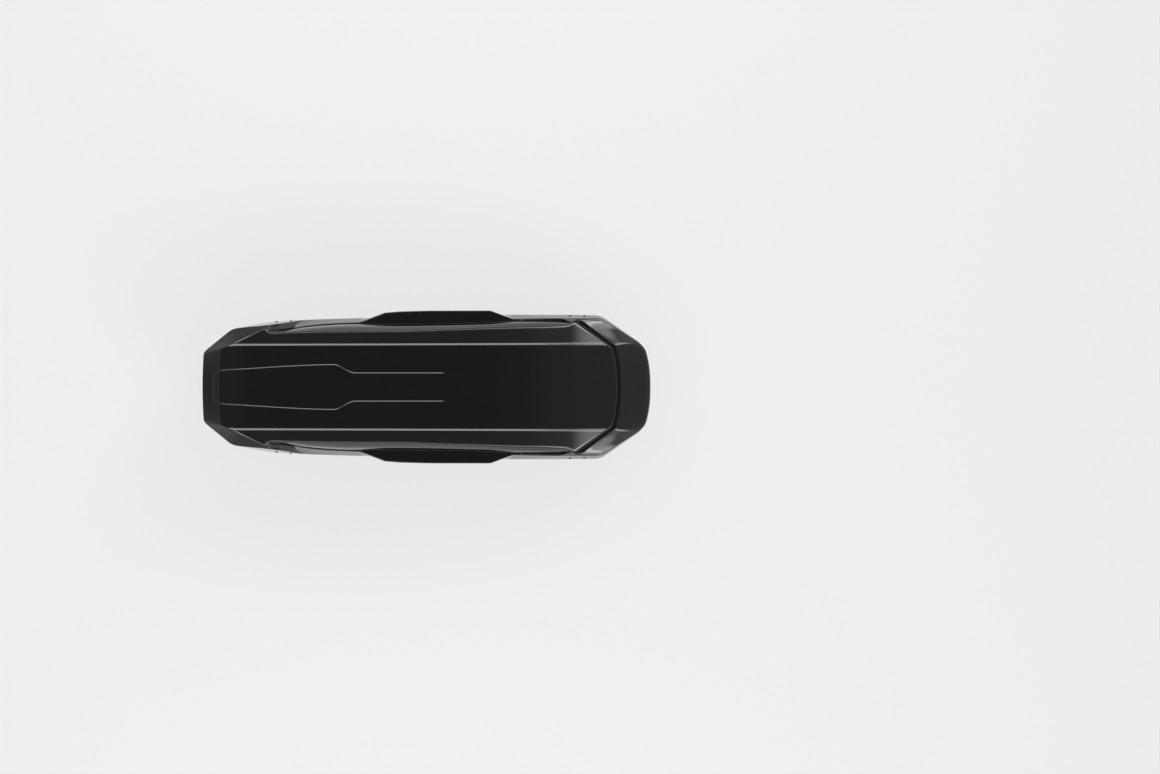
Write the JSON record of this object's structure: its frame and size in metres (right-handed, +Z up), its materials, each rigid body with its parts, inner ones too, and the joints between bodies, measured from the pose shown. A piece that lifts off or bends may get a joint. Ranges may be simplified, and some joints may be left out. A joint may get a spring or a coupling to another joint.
{
  "type": "roof box",
  "caption": "Long hard-shell car roof box that opens from either side, with crossed lifter arms, sliding lock rods and knob-driven crossbar clamps.",
  "frame": {"origin": "middle of the box in plan, at the lowest point of the clamp jaws", "axes": "+X towards the nose, +Y towards the left side, +Z up"},
  "size_m": [2.05, 0.702, 0.4553],
  "materials": {
    "lid_gloss": "gloss black thermoformed cap sheet",
    "base_matt": "textured black thermoformed sheet",
    "zinc_steel": "bright zinc plate",
    "spring_steel": "oiled spring wire",
    "jaw_steel": "black powder coat",
    "rivet_black": "black blind rivet",
    "black_nylon": "fine moulded texture",
    "grey_nylon": "fine moulded texture"
  },
  "bodies": {
    "base": {"base_shell": "base_matt", "base_bracket_front_left": "zinc_steel", "base_bracket_front_right": "zinc_steel", "base_bracket_rear_left": "zinc_steel", "base_bracket_rear_right": "zinc_steel", "lifter_spring_front_left": "spring_steel", "lifter_spring_front_right": "spring_steel", "lifter_spring_rear_left": "spring_steel", "lifter_spring_rear_right": "spring_steel", "lock_housing_left": "black_nylon", "lock_housing_right": "black_nylon", "floor_rail_left": "zinc_steel", "floor_rail_right": "zinc_steel"},
    "inner_arms": {"lifter_arm_front_inner": "zinc_steel", "lifter_arm_rear_inner": "zinc_steel"},
    "lid": {"lid_shell": "lid_gloss", "lid_bracket_front_left": "zinc_steel", "lid_bracket_front_right": "zinc_steel", "lid_bracket_rear_left": "zinc_steel", "lid_bracket_rear_right": "zinc_steel", "rivet_front_left_1": "rivet_black", "rivet_front_left_2": "rivet_black", "rivet_front_right_1": "rivet_black", "rivet_front_right_2": "rivet_black", "rivet_rear_left_1": "rivet_black", "rivet_rear_left_2": "rivet_black", "rivet_rear_right_1": "rivet_black", "rivet_rear_right_2": "rivet_black"},
    "outer_arms": {"lifter_arm_front_outer": "zinc_steel", "lifter_arm_rear_outer": "zinc_steel"},
    "left_lock": {"lock_rod_left": "zinc_steel", "lock_grip_left": "grey_nylon"},
    "right_lock": {"lock_rod_right": "zinc_steel", "lock_grip_right": "grey_nylon"},
    "left_key": {"key_barrel_left": "zinc_steel"},
    "right_key": {"key_barrel_right": "zinc_steel"},
    "clamp_front_left": {"clamp_housing_front_left": "black_nylon"},
    "clamp_front_right": {"clamp_housing_front_right": "black_nylon"},
    "clamp_rear_left": {"clamp_housing_rear_left": "black_nylon"},
    "clamp_rear_right": {"clamp_housing_rear_right": "black_nylon"},
    "knob_front_left": {"clamp_knob_front_left": "grey_nylon"},
    "knob_front_right": {"clamp_knob_front_right": "grey_nylon"},
    "knob_rear_left": {"clamp_knob_rear_left": "grey_nylon"},
    "knob_rear_right": {"clamp_knob_rear_right": "grey_nylon"},
    "jaw_front_left_front": {"clamp_jaw_front_left_front": "jaw_steel"},
    "jaw_front_left_rear": {"clamp_jaw_front_left_rear": "jaw_steel"},
    "jaw_front_right_front": {"clamp_jaw_front_right_front": "jaw_steel"},
    "jaw_front_right_rear": {"clamp_jaw_front_right_rear": "jaw_steel"},
    "jaw_rear_left_front": {"clamp_jaw_rear_left_front": "jaw_steel"},
    "jaw_rear_left_rear": {"clamp_jaw_rear_left_rear": "jaw_steel"},
    "jaw_rear_right_front": {"clamp_jaw_rear_right_front": "jaw_steel"},
    "jaw_rear_right_rear": {"clamp_jaw_rear_right_rear": "jaw_steel"}
  },
  "joints": [
    {"name": "open_right_side", "type": "hinge", "parent": "base", "child": "inner_arms", "pos_m": [0, 0.262, 0.181], "axis": [-1, 0, 0], "range_deg": [0, 55]},
    {"name": "open_left_side", "type": "hinge", "parent": "inner_arms", "child": "lid", "pos_m": [0, -0.262, 0.181], "axis": [1, 0, 0], "range_deg": [0, 55]},
    {"name": "outer_arm_pivot", "type": "hinge", "parent": "lid", "child": "outer_arms", "pos_m": [0, 0.262, 0.181], "axis": [-1, 0, 0], "range_deg": [-55, 0]},
    {"name": "left_lock_slide", "type": "slide", "parent": "base", "child": "left_lock", "axis": [1, 0, 0], "range_m": [0, 0.018]},
    {"name": "right_lock_slide", "type": "slide", "parent": "base", "child": "right_lock", "axis": [1, 0, 0], "range_m": [0, 0.018]},
    {"name": "left_key_turn", "type": "hinge", "parent": "base", "child": "left_key", "pos_m": [0.084, 0.3115, 0.146], "axis": [0, 1, 0], "range_deg": [0, 90]},
    {"name": "right_key_turn", "type": "hinge", "parent": "base", "child": "right_key", "pos_m": [0.084, -0.3115, 0.146], "axis": [0, -1, 0], "range_deg": [0, 90]},
    {"name": "clamp_slide_front_left", "type": "slide", "parent": "base", "child": "clamp_front_left", "axis": [1, 0, 0], "range_m": [-0.03, 0.03]},
    {"name": "clamp_slide_front_right", "type": "slide", "parent": "base", "child": "clamp_front_right", "axis": [1, 0, 0], "range_m": [-0.03, 0.03]},
    {"name": "clamp_slide_rear_left", "type": "slide", "parent": "base", "child": "clamp_rear_left", "axis": [1, 0, 0], "range_m": [-0.03, 0.03]},
    {"name": "clamp_slide_rear_right", "type": "slide", "parent": "base", "child": "clamp_rear_right", "axis": [1, 0, 0], "range_m": [-0.03, 0.03]},
    {"name": "knob_turn_front_left", "type": "hinge", "parent": "clamp_front_left", "child": "knob_front_left", "pos_m": [0.42, 0.17, 0.0855], "axis": [0, 0, 1], "range_deg": [0, 170]},
    {"name": "knob_turn_front_right", "type": "hinge", "parent": "clamp_front_right", "child": "knob_front_right", "pos_m": [0.42, -0.17, 0.0855], "axis": [0, 0, 1], "range_deg": [0, 170]},
    {"name": "knob_turn_rear_left", "type": "hinge", "parent": "clamp_rear_left", "child": "knob_rear_left", "pos_m": [-0.32, 0.17, 0.0855], "axis": [0, 0, 1], "range_deg": [0, 170]},
    {"name": "knob_turn_rear_right", "type": "hinge", "parent": "clamp_rear_right", "child": "knob_rear_right", "pos_m": [-0.32, -0.17, 0.0855], "axis": [0, 0, 1], "range_deg": [0, 170]},
    {"name": "jaw_swing_front_left_front", "type": "hinge", "parent": "clamp_front_left", "child": "jaw_front_left_front", "pos_m": [0.467, 0.17, 0.0645], "axis": [0, -1, 0], "range_deg": [0, 30]},
    {"name": "jaw_swing_front_left_rear", "type": "hinge", "parent": "clamp_front_left", "child": "jaw_front_left_rear", "pos_m": [0.373, 0.17, 0.0645], "axis": [0, 1, 0], "range_deg": [0, 30]},
    {"name": "jaw_swing_front_right_front", "type": "hinge", "parent": "clamp_front_right", "child": "jaw_front_right_front", "pos_m": [0.467, -0.17, 0.0645], "axis": [0, -1, 0], "range_deg": [0, 30]},
    {"name": "jaw_swing_front_right_rear", "type": "hinge", "parent": "clamp_front_right", "child": "jaw_front_right_rear", "pos_m": [0.373, -0.17, 0.0645], "axis": [0, 1, 0], "range_deg": [0, 30]},
    {"name": "jaw_swing_rear_left_front", "type": "hinge", "parent": "clamp_rear_left", "child": "jaw_rear_left_front", "pos_m": [-0.273, 0.17, 0.0645], "axis": [0, -1, 0], "range_deg": [0, 30]},
    {"name": "jaw_swing_rear_left_rear", "type": "hinge", "parent": "clamp_rear_left", "child": "jaw_rear_left_rear", "pos_m": [-0.367, 0.17, 0.0645], "axis": [0, 1, 0], "range_deg": [0, 30]},
    {"name": "jaw_swing_rear_right_front", "type": "hinge", "parent": "clamp_rear_right", "child": "jaw_rear_right_front", "pos_m": [-0.273, -0.17, 0.0645], "axis": [0, -1, 0], "range_deg": [0, 30]},
    {"name": "jaw_swing_rear_right_rear", "type": "hinge", "parent": "clamp_rear_right", "child": "jaw_rear_right_rear", "pos_m": [-0.367, -0.17, 0.0645], "axis": [0, 1, 0], "range_deg": [0, 30]}
  ],
  "couplings": [
    {"joint": "outer_arm_pivot", "follows": "open_right_side", "ratio": -1},
    {"joint": "jaw_swing_front_left_front", "follows": "knob_turn_front_left", "ratio": 0.1764},
    {"joint": "jaw_swing_front_left_rear", "follows": "knob_turn_front_left", "ratio": 0.1764},
    {"joint": "jaw_swing_front_right_front", "follows": "knob_turn_front_right", "ratio": 0.1764},
    {"joint": "jaw_swing_front_right_rear", "follows": "knob_turn_front_right", "ratio": 0.1764},
    {"joint": "jaw_swing_rear_left_front", "follows": "knob_turn_rear_left", "ratio": 0.1764},
    {"joint": "jaw_swing_rear_left_rear", "follows": "knob_turn_rear_left", "ratio": 0.1764},
    {"joint": "jaw_swing_rear_right_front", "follows": "knob_turn_rear_right", "ratio": 0.1764},
    {"joint": "jaw_swing_rear_right_rear", "follows": "knob_turn_rear_right", "ratio": 0.1764}
  ]
}
